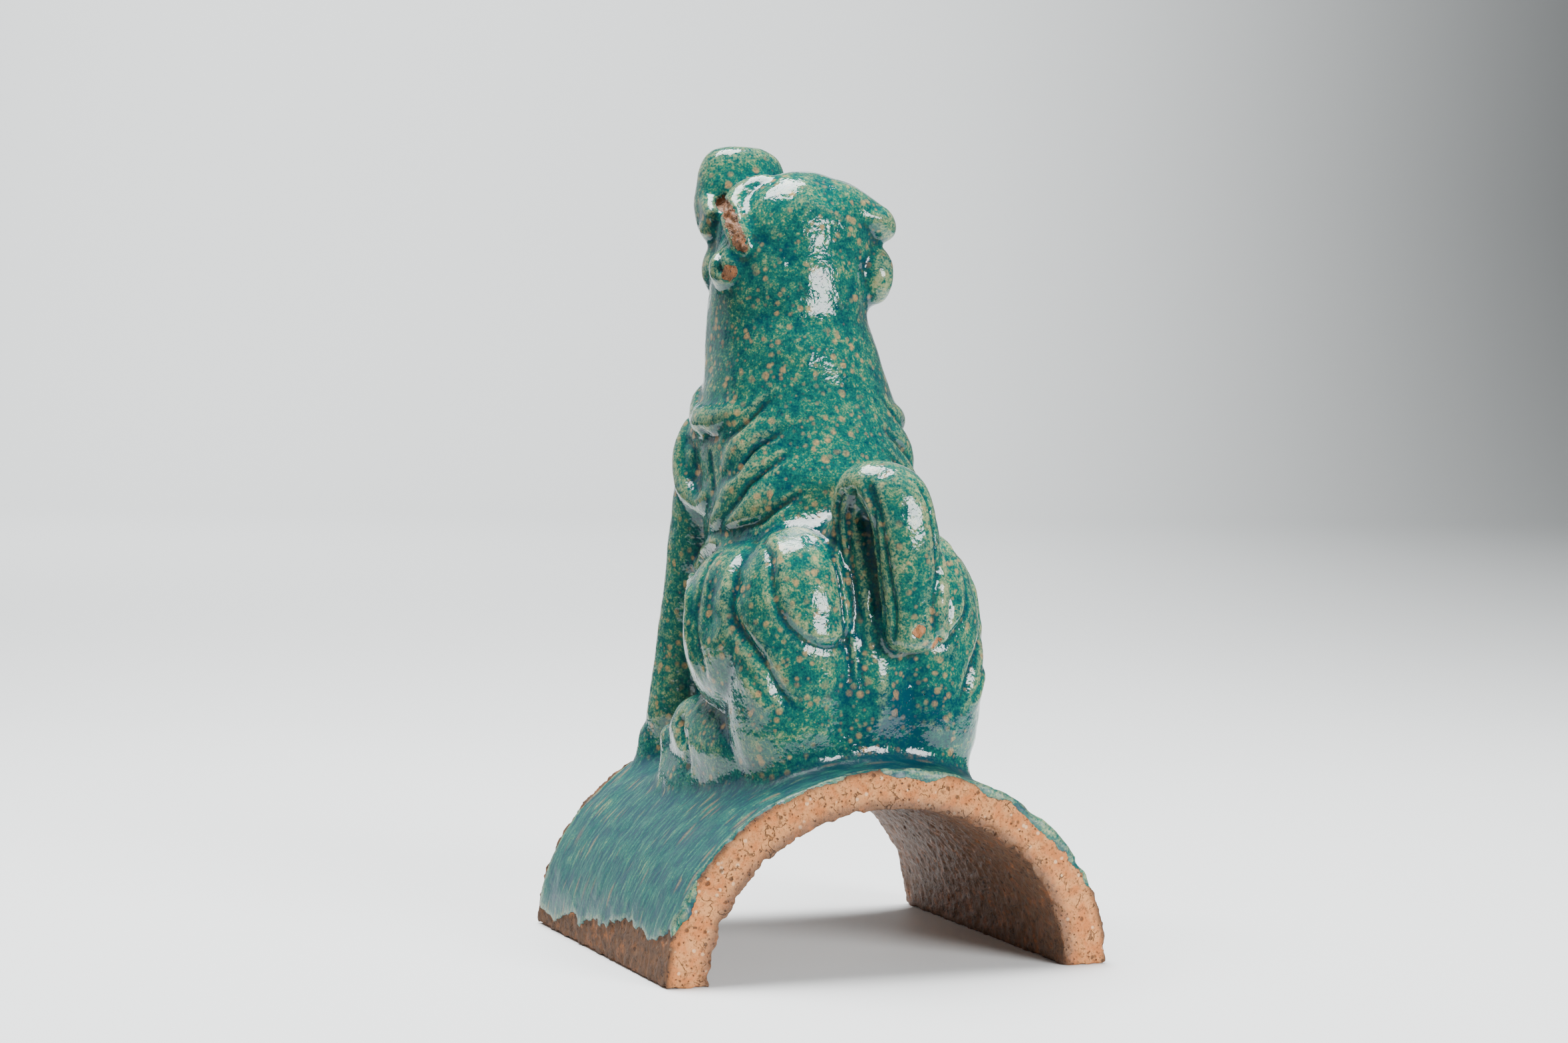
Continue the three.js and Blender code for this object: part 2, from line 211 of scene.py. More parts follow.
# The beast
beast = {
    "trunk": [
        (0, 9, 50, 47, 53),
        (0, 9, 76, 45, 51.5),
        (0, 8, 98, 43, 53),
        (0, 4, 124, 41, 55),
        (0, -6, 150, 40, 47),
        (0, -14, 175, 40, 41),
        (1, -20.5, 197, 39, 37.5),
        (2, -24.5, 216, 34.5, 36),
        (3, -28, 236, 31, 33.5),
        (2.5, -26, 254, 30.5, 29),
        (1, -26, 268, 28, 26),
        (0, -27, 279, 22, 15),
    ],
    "nape": ((1, -15, 247), (20, 19, 24), 3),
    "napeLean": 5,
    "skull": ((-1, -26, 267), (29, 26.5, 27.5), 2.2),
    "faceTurn": 12,
    "neckY": -16,
    # the face's stations are (across, forward, height, half width, half depth)
    "muzzle": [(0, 0, 268, 27, 24), (0, 18, 269, 25, 23), (0, 36, 271, 21, 21), (0, 50, 271, 17, 17)],
    "upturnedNose": [
        (2, 38, 268, 20, 15),
        (2, 42, 282, 21, 15),
        (2, 44, 294, 18.5, 13.5),
        (1.5, 45, 305, 14.5, 11),
    ],
    "lowerJaw": [(0, 2, 250, 24, 13), (0, 26, 247, 21, 10), (0, 44, 249, 15, 7)],
    "eye": ((20, 35, 273), (6, 6.5, 6)),
    "brow": [(9, 46, 284, 4, 4), (19, 40, 283, 4, 4), (25, 28, 277, 3, 3)],
    "mouthCurl": ((17, 33, 257), (8, 10, 12)),
    "jowls": [((-26.5, -13, 255), (7.5, 9.5, 12)), ((31, -20, 257), (7, 9, 8))],
    "rightEar": [
        (-4, -20, 289, 12, 5),
        (-16, -18, 284, 13, 7),
        (-27, -15, 276, 11, 7),
        (-35, -14, 270, 6, 5),
    ],
    "leftEarRoot": [
        (10, -22, 291, 6, 6),
        (21, -27, 285, 6, 6),
        (26, -24, 279, 6, 6),
        (28, -15, 270, 5, 5),
        (28, -8, 263, 4, 4),
    ],
    "foreleg": [
        (25, -32, 210, 10, 13),
        (27, -38, 192, 12.5, 17),
        (29.5, -46, 165, 12.5, 14),
        (32, -52, 132, 11.5, 12),
        (35, -56, 100, 11, 11),
        (37, -58, 80, 12, 12),
        (38, -58, 60, 13, 13),
    ],
    "foreWeb": [(26, -36, 180, 6, 12), (27, -40, 120, 6, 16), (28, -40, 66, 6, 18)],
    "foreToes": [(46, -64, 70), (38, -67, 70), (30, -65, 70)],
    "foreToeSize": (5.5, 7.5, 9),
    "haunch": ((23, 31, 106), (24, 29, 54), 2.5),
    "haunchTurn": 20,
    "thigh": ((30, 15, 122), (26.5, 31, 33), 2.4),
    "shank": ((30, 24, 84), (16, 29, 30), 3),
    "foot": [(38, 36, 71, 12, 14), (41, 14, 76, 13, 17), (43, -8, 80, 12, 16), (43, -28, 77, 9.5, 13)],
    "footSkirt": ((41, -12, 64), (17, 27, 8), 2.2),
    "hindToes": [(49, -27, 73), (43.5, -33, 76), (37, -32, 78)],
    "hindToeSize": (5, 8, 10),
    "tail": [
        (-1, 56, 88, 4, 5),
        (-1, 56, 106, 7, 6),
        (0, 51, 130, 12, 7),
        (1.5, 48, 155, 14, 7.5),
        (1, 49, 170.5, 14, 8),
        (0, 55, 179, 13, 8),
        (-4, 63, 174.5, 12.8, 9),
        (-8, 66, 159, 12.3, 9.2),
        (-10.6, 66, 140, 11.5, 9.2),
        (-11.7, 66, 117, 11.2, 9),
    ],
    "tailWeb": [(-1, 55, 174, 8, 8), (-5, 57, 150, 8, 10), (-7, 57, 128, 8, 9), (-6, 56, 116, 6, 6)],
}
drawn = {
    # lines on the body's sides, as (along, height) seen from `quarterTurn` or square from the side
    "quarterTurn": 68,
    "folds": [
        [(-17, 203), (-24, 196), (-29, 192), (-33, 186), (-36, 179)],
        [(-14, 192), (-22, 186.5), (-26, 182), (-29.5, 177), (-34, 171), (-38, 163), (-42, 155)],
        [(-8, 181), (-17, 175.5), (-23, 171), (-28.5, 166), (-37, 159)],
    ],
    "foldCreases": [
        [(-16, 210), (-22, 205.3), (-26.9, 200.3), (-32.2, 195.4), (-36.6, 191.3)],
        [(-10, 200), (-17, 194.3), (-21.4, 192), (-25.4, 189.3), (-31.5, 179.9), (-35.5, 176.3)],
        [(-8, 190), (-16, 184.7), (-23.5, 179.3), (-27.5, 175.7), (-31.4, 168.1), (-41, 155.6)],
        [(-5, 175), (-11.4, 170.6), (-17.6, 166.6), (-21.9, 163), (-28.9, 160.7), (-35.1, 158.9)],
    ],
    "foldBand": (5, 2.3),  # bands are (half width, half height)
    "upperRibbon": [(-44, 211), (-36, 202), (-20, 199), (0, 203)],
    "upperRibbonBand": (5, 3),
    "hangingRibbonBand": (4.2, 2.8),
    "thighLipBand": (1.7, 2.2),
    "hangingRibbon": [(-47, 200), (-46, 186), (-38, 173), (-24, 167), (-15, 172)],
    "ribbonCreases": [
        [(-51.8, 192.3), (-48.6, 186.9), (-47.7, 181.4), (-44.5, 177.4)],
        [(-41.8, 188.2), (-41.4, 183.2), (-40.3, 176.9), (-39.8, 170.6)],
        [(-46.3, 195.9), (-42.3, 192.9), (-37.7, 193.2)],
    ],
    "thighLip": [
        (-33, 154), (-38.7, 153.8), (-43, 149.6), (-46, 143), (-47.4, 136), (-47.8, 128), (-47.4, 120),
        (-46, 112), (-43, 104),
    ],
    "lipCrease": [
        (-33.5, 151), (-38, 150.2), (-41, 146.2), (-43.2, 141), (-44.6, 135), (-45.2, 127.5), (-44.8, 120),
        (-43, 112), (-40, 104.5),
    ],
    "thighPocket": [(-38, 146), (-39.6, 138), (-39.4, 129), (-36.5, 121)],
    "thighGroove": [
        (-28.8, 151), (-30.8, 142), (-32.3, 132.4), (-30.9, 126.5), (-27, 121.8), (-20.7, 114.2),
        (-14, 103), (-6, 93),
    ],
    "shinRidge": [(-29.5, 111.6), (-24.7, 107), (-19.9, 100.5), (-14.6, 95.9)],
    "petal": [
        (-19.5, 158), (-15.7, 152), (-14.8, 144), (-14, 137), (-11.5, 131), (-7, 126), (-0.6, 121.5),
        (6, 121), (11, 126), (11, 140), (5, 154), (-7, 161),
    ],
    "tailCreases": [
        [(4.8, 165.3), (4.9, 156.7), (6.4, 146.2), (8.5, 132.8), (11.1, 118.4), (12.6, 106)],
        [(9, 176), (7.3, 173), (6.4, 165.6), (7.9, 154.2), (10.2, 142.7), (12.6, 131.3), (17.4, 101.8)],
        [(10.6, 160), (11.2, 151), (13.2, 139.5), (15.4, 128), (17.6, 115)],
        [(14, 178), (12, 173.3), (10.5, 165.7), (12, 154.2), (14.1, 142.8), (15.6, 133.2), (17.6, 125.6)],
        [(15.9, 179.5), (18.8, 171.9), (20.4, 160.5), (21.9, 147.3), (23.5, 135.9), (25, 125.5)],
        [(17, 181), (19.6, 175), (22.6, 164.6), (24.6, 153.2), (26.6, 141), (28.2, 129.6), (28, 120)],
        [(34.8, 179.8), (39.6, 172.2), (42.1, 160.9), (43.7, 147.6), (46.2, 134.4), (47.3, 124.9)],
    ],
    "tailSlot": [(15.5, 168), (17, 161.9), (18.7, 152.4), (20.3, 140.9), (21.9, 127)],
    "toeGroove": [(-49.5, 84), (-48.5, 76), (-47.8, 67.5)],
    "heelHollow": [(-51.9, 86.5), (-51.4, 79.5)],
    "cheekHollow": [(-39.5, 263.5), (-39.8, 256)],
}
worn = {
    # breaks: where raw clay shows
    "earScar": [(-38, 283), (-36.5, 278), (-33.5, 271), (-31, 265)],
    "earScarWidth": 3.2,
    "jowlScar": (-35.5, 255),
    "jowlScarWidth": 2.8,
    "tailChips": [(37, 125.5), (43.5, 120.5)],
    "tailChipWidth": 1.9,
    "edgeChip": 2.2,
}
tile = {"width": 175, "length": 151, "height": 76, "crownWall": 15, "sideWall": 18, "segments": 96}
finish = {"firstVoxel": 1.6, "voxel": 0.9, "quickVoxel": 1.8, "smooth": 7, "mostTriangles": 190000}


def mirrored(stations, side):
    return [(side * s[0], *s[1:]) for s in stations]


# Places a point of the face, given before the face is turned.
def onFace(across, forward, height):
    turn = math.radians(beast["faceTurn"])
    x = across * math.cos(turn) + forward * math.sin(turn)
    y = across * math.sin(turn) - forward * math.cos(turn) + beast["neckY"]
    return (x, y, height)


def addFaceLimb(bm, stations, **options):
    turn = math.radians(beast["faceTurn"])
    placed = [(*onFace(*s[:3]), *s[3:]) for s in stations]
    addLimb(bm, placed, across=(math.cos(turn), math.sin(turn), 0), **options)


def addFaceLump(bm, lump, side):
    (across, forward, height), radii = beast[lump]
    addEgg(bm, onFace(side * across, forward, height), radii)


def addHead(bm):
    centre, radii, fullness = beast["skull"]
    turned = Matrix.Rotation(math.radians(beast["faceTurn"]), 4, "Z")
    addEgg(bm, centre, radii, fullness, turned=turned, sides=64)
    centre, radii, fullness = beast["nape"]
    leaning = Matrix.Rotation(math.radians(beast["napeLean"]), 4, "X")
    addEgg(bm, centre, radii, fullness, turned=leaning, sides=64)
    for centre, radii in beast["jowls"]:
        addEgg(bm, centre, radii)
    addFaceLimb(bm, beast["muzzle"])
    addFaceLimb(bm, beast["upturnedNose"], blunt=9)
    addFaceLimb(bm, beast["lowerJaw"])
    for side in bothSides:
        addFaceLump(bm, "eye", side)
        addFaceLimb(bm, mirrored(beast["brow"], side))
        addFaceLump(bm, "mouthCurl", side)
    for ear in ("rightEar", "leftEarRoot"):
        addLimb(bm, beast[ear], across=(0, 1, 0))


def addLegs(bm, side):
    addLimb(bm, mirrored(beast["foreleg"], side))
    addLimb(bm, mirrored(beast["foreWeb"], side))
    for x, y, z in beast["foreToes"]:
        addEgg(bm, (side * x, y, z), beast["foreToeSize"], sides=24)
    for mass in ("haunch", "thigh", "shank", "footSkirt"):
        centre, radii, fullness = beast[mass]
        turn = -side * beast["haunchTurn"] if mass == "haunch" else 0
        turned = Matrix.Rotation(math.radians(turn), 4, "Z")
        addEgg(bm, (side * centre[0], *centre[1:]), radii, fullness, turned=turned, sides=64)
    addLimb(bm, mirrored(beast["foot"], side))
    for x, y, z in beast["hindToes"]:
        addEgg(bm, (side * x, y, z), beast["hindToeSize"], sides=24)


def addRaisedWork(bm, tree, side):
    quarter = drawn["quarterTurn"]
    for line in drawn["folds"]:
        addBand(bm, castOn(tree, side, quarter, line), *drawn["foldBand"], lift=0.1, sunk=1.2, blunt=3)
    for line, turn in (("upperRibbon", 0), ("hangingRibbon", 0), ("thighLip", quarter)):
        addBand(bm, castOn(tree, side, turn, drawn[line]), *drawn[line + "Band"])


def addTail(bm):
    addLimb(bm, beast["tail"], rings=70, blunt=60)
    addLimb(bm, beast["tailWeb"])


# The vault under the tile, as a long round bar that is cut away.
def makeVaultTool():
    bm = bmesh.new()
    halfWidth = tile["width"] / 2 - tile["sideWall"]
    height = tile["height"] - tile["crownWall"]
    shape = Matrix.Translation((0, -tile["length"], 0)) @ Matrix.Rotation(math.pi / 2, 4, "X")
    shape = Matrix.Diagonal((halfWidth, 1, height, 1)) @ shape
    bmesh.ops.create_circle(bm, cap_ends=True, segments=tile["segments"], radius=1, matrix=shape)
    grown = bmesh.ops.extrude_face_region(bm, geom=bm.faces[:])["geom"]
    verts = [g for g in grown if isinstance(g, bmesh.types.BMVert)]
    bmesh.ops.translate(bm, vec=(0, 2 * tile["length"], 0), verts=verts)
    return toObject(bm, "vaultTool")


# The tile: a short line spun half round into an arch, then drawn out along the ridge.
def addTile(bm):
    form = bmesh.new()
    ratio = 1 - tile["sideWall"] * 2 / tile["width"]
    ends = [form.verts.new((r, -tile["length"] / 2, 0)) for r in (ratio, 1)]
    edge = form.edges.new(ends)
    bmesh.ops.spin(
        form, geom=[*ends, edge], cent=(0, 0, 0), axis=(0, -1, 0), angle=math.pi, steps=tile["segments"]
    )
    inner = [v for v in form.verts if math.hypot(v.co.x, v.co.z) < (1 + ratio) / 2]
    crown = (tile["height"] - tile["crownWall"]) / (tile["height"] * ratio)
    bmesh.ops.scale(form, vec=(1, 1, crown), verts=inner)
    bmesh.ops.scale(form, vec=(tile["width"] / 2, 1, tile["height"]), verts=form.verts)
    grown = bmesh.ops.extrude_face_region(form, geom=form.faces[:])["geom"]
    verts = [g for g in grown if isinstance(g, bmesh.types.BMVert)]
    bmesh.ops.translate(form, vec=(0, tile["length"], 0), verts=verts)
    pour(form, bm)


def voxelRemesh(piece, size):
    applyModifier(piece, "REMESH", mode="VOXEL", voxel_size=size)


def makeBody():
    bm = bmesh.new()
    addLimb(bm, beast["trunk"], rings=60, sides=72, blunt=14)
    addHead(bm)
    for side in bothSides:
        addLegs(bm, side)
    bmesh.ops.recalc_face_normals(bm, faces=bm.faces)
    tree = BVHTree.FromBMesh(bm)
    for side in bothSides:
        addRaisedWork(bm, tree, side)
    addTail(bm)
    body = toObject(bm, "ridgeBeast")
    voxelRemesh(body, finish["firstVoxel"])
    vault = makeVaultTool()
    applyModifier(body, "BOOLEAN", operation="DIFFERENCE", object=vault, solver="MANIFOLD")
    bpy.data.objects.remove(vault)
    bm = bmesh.new()
    bm.from_mesh(body.data)
    addTile(bm)
    bm.to_mesh(body.data)
    bm.free()
    voxelRemesh(body, finish["voxel"])
    applyModifier(body, "SMOOTH", factor=0.5, iterations=finish["smooth"])
    print("forms joined,", len(body.data.vertices), "points")
    return body


# Relief

def readMesh(mesh):
    count = len(mesh.vertices)
    points = np.empty(count * 3, np.float32)
    mesh.vertices.foreach_get("co", points)
    normals = np.empty(count * 3, np.float32)
    mesh.vertex_normals.foreach_get("vector", normals)
    edges = np.empty(len(mesh.edges) * 2, np.int32)
    mesh.edges.foreach_get("vertices", edges)
    return points.reshape(-1, 3).astype(float), normals.reshape(-1, 3).astype(float), edges.reshape(-1, 2)


def smoothedBy(values, edges, rounds):
    count = len(values)
    links = np.bincount(edges.ravel(), minlength=count)
    for _ in range(rounds):
        total = [
            np.bincount(edges[:, 0], values[edges[:, 1], k], count)
            + np.bincount(edges[:, 1], values[edges[:, 0], k], count)
            for k in range(values.shape[1])
        ]
        values = np.stack(total, axis=1) / links[:, None]
    return values


def noiseAt(points, size, seed):
    shift = Vector((seed * 17.3, seed * 5.1, seed * 9.7))
    return np.array([noise.noise(Vector(p) / size + shift) for p in points.tolist()])


def blend(values, low, high):
    t = np.clip((values - low) / (high - low), 0, 1)
    return t * t * (3 - 2 * t)


# The carving and wear of the finished body. Points are moved along their normals by `offset` mm.
class Relief:
    def __init__(self, piece):
        self.mesh = piece.data
        self.points, self.normals, self.edges = readMesh(self.mesh)
        self.offset = np.zeros(len(self.points))
        self.bare = np.full(len(self.points), -9.0)  # mm inside the bare clay, below 0 where glazed
        self.tree = BVHTree.FromObject(piece, bpy.context.evaluated_depsgraph_get())

    # The points near a drawn line, with their distance, side of it (1 or -1) and place along it
    def near(self, hits, reach):
        path = Curve([p for p, n in hits])
        facing = Curve([n for p, n in hits])
        places = np.linspace(0, 1, 41)
        knots = np.array([path.at(t) for t in places])
        outwards = np.array([facing.at(t) for t in places])[:-1]
        inside = (self.points > knots.min(0) - reach) & (self.points < knots.max(0) + reach)
        picked = np.where(inside.all(1))[0]
        steps = np.diff(knots, axis=0)
        fromStart = self.points[picked][:, None] - knots[:-1]
        share = np.clip((fromStart * steps).sum(2) / (steps**2).sum(1), 0, 1)
        gaps = fromStart - share[..., None] * steps
        best = (gaps**2).sum(2).argmin(1)
        rows = np.arange(len(picked))
        gap = gaps[rows, best]
        distance = np.linalg.norm(gap, axis=1)
        side = np.sign((np.cross(steps[best], self.normals[picked]) * gap).sum(1))
        along = (best + share[rows, best]) / len(steps)
        keep = (distance < reach) & ((self.normals[picked] * outwards[best]).sum(1) > 0)
        return picked[keep], distance[keep], side[keep], along[keep]

    def groove(self, hits, width, depth, fade=0.15):
        picked, distance, side, along = self.near(hits, 3 * width)
        ends = np.clip(np.minimum(along, 1 - along) / fade, 0, 1) if fade else 1
        self.offset[picked] -= depth * np.exp(-((distance / width) ** 2)) * ends

    # Raises one side of a line, with a sharp foot on the other side
    def ledge(self, hits, height, reach, raisedSide, fade=0.2):
        picked, distance, side, along = self.near(hits, 2.2 * reach)
        ends = np.clip(np.minimum(along, 1 - along) / fade, 0, 1)
        signed = distance * side * raisedSide
        shape = np.exp(-((np.maximum(signed, 0) / reach) ** 2)) * blend(signed, -1.0, 1.0)
        self.offset[picked] += height * shape * ends

    # Rounds off the shape by a share for each point, as a wet sponge does
    def sponge(self, shares, rounds):
        rounded = smoothedBy(self.points, self.edges, rounds)
        self.points += (rounded - self.points) * shares[:, None]
        self.settle(0)

    # Raises a flat leaf inside an outline that is drawn from outside
    def leaf(self, side, turn, outline, height, edge):
        a = math.radians(turn)
        outwards = np.array((side * math.cos(a), math.sin(a), 0))
        along = np.array((-side * math.sin(a), math.cos(a), 0))
        loop = Curve([(*p, 0) for p in outline + outline[:1]])
        knots = np.array([loop.at(t)[:2] for t in np.linspace(0, 1, 73)])
        flat = np.stack([self.points @ along, self.points[:, 2]], axis=1)
        near = ((flat > knots.min(0) - 6) & (flat < knots.max(0) + 6)).all(1)
        centre = castOn(self.tree, side, turn, [middleOf(outline)])[0][0]
        near &= (self.normals @ outwards > 0.15) & (np.linalg.norm(self.points - centre, axis=1) < 30)
        picked = np.where(near)[0]
        here = flat[picked][:, None]
        starts, steps = knots[:-1], np.diff(knots, axis=0)
        share = np.clip(((here - starts) * steps).sum(2) / np.maximum((steps**2).sum(1), 1e-9), 0, 1)
        distance = np.linalg.norm(here - starts - share[..., None] * steps, axis=2).min(1)
        above = (starts[:, 1] > here[..., 1]) != (knots[1:, 1] > here[..., 1])
        rise = np.where(steps[:, 1] == 0, 1e-9, steps[:, 1])
        crossing = here[..., 0] < steps[:, 0] * (here[..., 1] - starts[:, 1]) / rise + starts[:, 0]
        inside = (above & crossing).sum(1) % 2 == 1
        signed = np.where(inside, distance, -distance)
        moat = 0.8 * np.exp(-(((signed + edge) / 1.6) ** 2))
        self.offset[picked] += height * blend(signed, -edge, edge) - moat

    # Breaks a piece off: flattens what stands out near a line, and marks it bare
    def breakOff(self, hits, width, depth):
        picked, distance, side, along = self.near(hits, 2.5 * width)
        self.bare[picked] = np.maximum(self.bare[picked], width - distance)
        grain = noiseAt(self.points[picked], 2.2, 11) + noiseAt(self.points[picked], 5, 12) * 0.8
        self.offset[picked] += (grain - depth) * blend(width + 0.6 - distance, 0, 1.2)

    def settle(self, rounds):
        self.offset = smoothedBy(self.offset[:, None], self.edges, rounds)[:, 0] if rounds else self.offset
        self.points += self.normals * self.offset[:, None]
        self.mesh.vertices.foreach_set("co", self.points.astype(np.float32).ravel())
        self.mesh.update()
        self.points, self.normals, self.edges = readMesh(self.mesh)
        self.offset[:] = 0


def middleOf(outline):
    return tuple(sum(p[k] for p in outline) / len(outline) for k in (0, 1))


# millimetres: a groove is (width, depth), a ledge (height, reach) and the petal (height, edge)
carving = {
    "foldGroove": (1.2, 1.9),
    "foldLedge": (1.0, 4),
    "ribbonGroove": (1.4, 1.4),
    "lipGroove": (1.2, 1.6),
    "pocket": (6, 2.4),
    "thighGroove": (2.6, 2.4),
    "thighLedge": (1.2, 9),
    "shinLedge": (1.4, 5),
    "petal": (1.9, 1.8),
    "toeGroove": (1.6, 1.6),
    "heelHollow": (2.2, 4.5),
    "tailGroove": (1.15, 1.5),
    "tailSlot": (1.7, 3.0),
    "cheekHollow": (2.0, 3.2),
}


def carveSide(relief, side):
    quarter = drawn["quarterTurn"]
    onQuarter = lambda line: castOn(relief.tree, side, quarter, line)
    for line in drawn["foldCreases"]:
        relief.groove(onQuarter(line), *carving["foldGroove"], fade=0.35)
        relief.ledge(onQuarter(line), *carving["foldLedge"], side, fade=0.35)
    for line in drawn["ribbonCreases"]:
        relief.groove(onQuarter(line), *carving["ribbonGroove"])
    relief.groove(onQuarter(drawn["lipCrease"]), *carving["lipGroove"])
    relief.groove(onQuarter(drawn["thighPocket"]), *carving["pocket"], fade=0.3)
    relief.groove(onQuarter(drawn["thighGroove"]), *carving["thighGroove"])
    relief.ledge(onQuarter(drawn["thighGroove"]), *carving["thighLedge"], side)
    relief.ledge(onQuarter(drawn["shinRidge"]), *carving["shinLedge"], side)
    relief.leaf(side, quarter, drawn["petal"], *carving["petal"])
    relief.groove(onQuarter(drawn["toeGroove"]), *carving["toeGroove"])
    relief.groove(onQuarter(drawn["heelHollow"]), *carving["heelHollow"], fade=0)


def carveTail(relief):
    onLeft = lambda line: castOn(relief.tree, left, drawn["quarterTurn"], line)
    for line in drawn["tailCreases"]:
        relief.groove(onLeft(line), *carving["tailGroove"], fade=0.08)
    relief.groove(onLeft(drawn["tailSlot"]), *carving["tailSlot"], fade=0.1)


def wearBody(relief):
    onLeft = lambda line: castOn(relief.tree, left, drawn["quarterTurn"], line)
    relief.groove(onLeft(drawn["cheekHollow"]), *carving["cheekHollow"], fade=0)
    relief.breakOff(onLeft(worn["earScar"]), worn["earScarWidth"], 1.2)
    for place, width in (
        (worn["jowlScar"], worn["jowlScarWidth"]),
        *((chip, worn["tailChipWidth"]) for chip in worn["tailChips"]),
    ):
        ends = [(place[0] - 0.6, place[1] - 0.6), (place[0] + 0.6, place[1] + 0.6)]
        relief.breakOff(onLeft(ends), width, 0.8)


# millimetres
glazeEdge = {
    "longWave": 5,
    "shortWave": 2.5,
    "rightLap": 4.5,
    "leftLap": 2.5,
    "runAt": (82, 31),
    "bandHeight": 11.5,  # of the bare band above the lower edges
    "bandRise": 13,  # how much higher the band is at the near end than at the far one
}


# How far each point lies inside the tile's bare clay, from the glaze's wavy edges. Also how far it
# is inside the vault's zone and below the tile's outer face, and whether it is on the tile.
def bareTile(points):
    x, y, z = points.T
    halfWidth, halfLength = tile["width"] / 2, tile["length"] / 2
    outer = np.hypot(x / halfWidth, z / tile["height"])
    inner = np.hypot(x / (halfWidth - tile["sideWall"]), z / (tile["height"] - tile["crownWall"]))
    depth = (1 - outer) * (halfWidth + tile["height"]) / 2  # below the tile's outer face
    wave = noiseAt(points, 16, 1) * glazeEdge["longWave"] + noiseAt(points, 5, 2) * glazeEdge["shortWave"]
    vault = np.where(outer < 0.97, (1.1 - inner) * 70, -9)
    # the glaze laps over the rim of the ends by the crown, most on the beast's right
    lap = blend(x, 14, -4) * blend(z, 20, 34) * glazeEdge["rightLap"]
    lap += blend(x, 8, 14) * blend(x, 50, 40) * glazeEdge["leftLap"]
    # and has run down over the near end at one place low on the left
    fromRun = np.hypot(x - glazeEdge["runAt"][0], z - glazeEdge["runAt"][1])
    lap += np.where(y > 0, 8 * np.exp(-((fromRun / 8) ** 2)), 0)
    end = np.where(np.abs(y) > halfLength - 2.5, depth - lap - wave * 0.7 + 1.2, -9)
    bandHeight = glazeEdge["bandHeight"] + y / tile["length"] * glazeEdge["bandRise"]
    lower = np.where(z < 40, bandHeight + wave - z, -9)
    onTile = np.where(outer < 1.02, 1.0, 0.0)
    return np.maximum.reduce([vault, np.minimum(end, 9), lower]), vault, depth, onTile


def wearTile(relief):
    points = relief.points
    bare, vault, depth, onTile = bareTile(points)
    halfLength = tile["length"] / 2
    fromEnd = halfLength - np.abs(points[:, 1])
    relief.bare = np.where(onTile > 0, np.maximum(relief.bare, bare), relief.bare)
    # the rims of the ends are chipped, the inner ones most
    chips = np.maximum(noiseAt(points, 7, 3) - 0.05, 0) * 2 + np.maximum(noiseAt(points, 3, 4), 0) * 0.35
    chips *= np.where(points[:, 1] > 0, 1, 0.5)
    rims = np.exp(-((depth / 3) ** 2)) * 0.6 + np.exp(-(((vault - 7) / 3.5) ** 2)) * 1.3
    relief.offset -= worn["edgeChip"] * chips * np.exp(-((fromEnd / 3.5) ** 2)) * rims * onTile
    rough = noiseAt(points, 4, 5) * 0.55 + noiseAt(points, 1.8, 6) * 0.5
    relief.offset += np.where(relief.bare > 0, rough * blend(relief.bare, 0, 1) * onTile, 0)
    # the glaze is a thick coat that ends in a lip
    outside = onTile * blend(depth, 4, 1) * blend(fromEnd, 0.5, 2)
    relief.offset -= 0.9 * blend(relief.bare, -0.5, 0.6) * outside
    relief.offset += (noiseAt(points, 11, 7) * 0.5 + noiseAt(points, 5, 8) * 0.18) * (relief.bare < 0)


def setAttribute(mesh, name, values, kind="FLOAT"):
    layer = mesh.attributes.new(name, kind, "POINT")
    field = "vector" if kind == "FLOAT_VECTOR" else "value"
    layer.data.foreach_set(field, np.ascontiguousarray(values, dtype=np.float32).ravel())


# What the glaze needs to know of the shape, measured on the fine mesh and read back by the thinned one
def measureGlaze(relief):
    points, normals, edges = relief.points, relief.normals, relief.edges
    near = smoothedBy(points, edges, 6)
    far = smoothedBy(near, edges, 50)
    crease = ((near - points) * normals).sum(axis=1)
    hollow = ((far - points) * normals).sum(axis=1)
    rump = np.linalg.norm((points - np.array((-14, 66, 92))) / np.array((20, 20, 13)), axis=1)
    pooled = np.exp(-(rump**2))
    return np.stack([np.tanh(crease / 0.12), np.tanh(hollow / 1.6), pooled, relief.bare], axis=1)


# joints that were smoothed by hand, as (centre, reach)
sponged = {
    "nape": ((1, 4, 256), (20, 14, 28)),
    "ear": ((-14, -8, 285), (17, 12, 10)),
    "leftHaunchTop": ((22, 38, 161), (15, 15, 10)),
    "rightHaunchTop": ((-22, 38, 161), (15, 15, 10)),
    "rounds": 90,
}


# Smooths those joints, and the one where the beast meets the tile
def spongeJoints(relief):
    x, y, z = relief.points.T
    outer = np.hypot(x / tile["width"] * 2, z / tile["height"])
    shares = blend(outer, 1.22, 1.09) * blend(outer, 0.94, 0.98)
    shares *= blend(np.abs(y), 74, 69) * blend(z, 28, 38)
    for joint in ("nape", "ear", "leftHaunchTop", "rightHaunchTop"):
        centre, reach = sponged[joint]
        away = np.linalg.norm((relief.points - centre) / reach, axis=1)
        shares = np.maximum(shares, blend(away, 1.2, 0.7))
    relief.sponge(shares, sponged["rounds"])


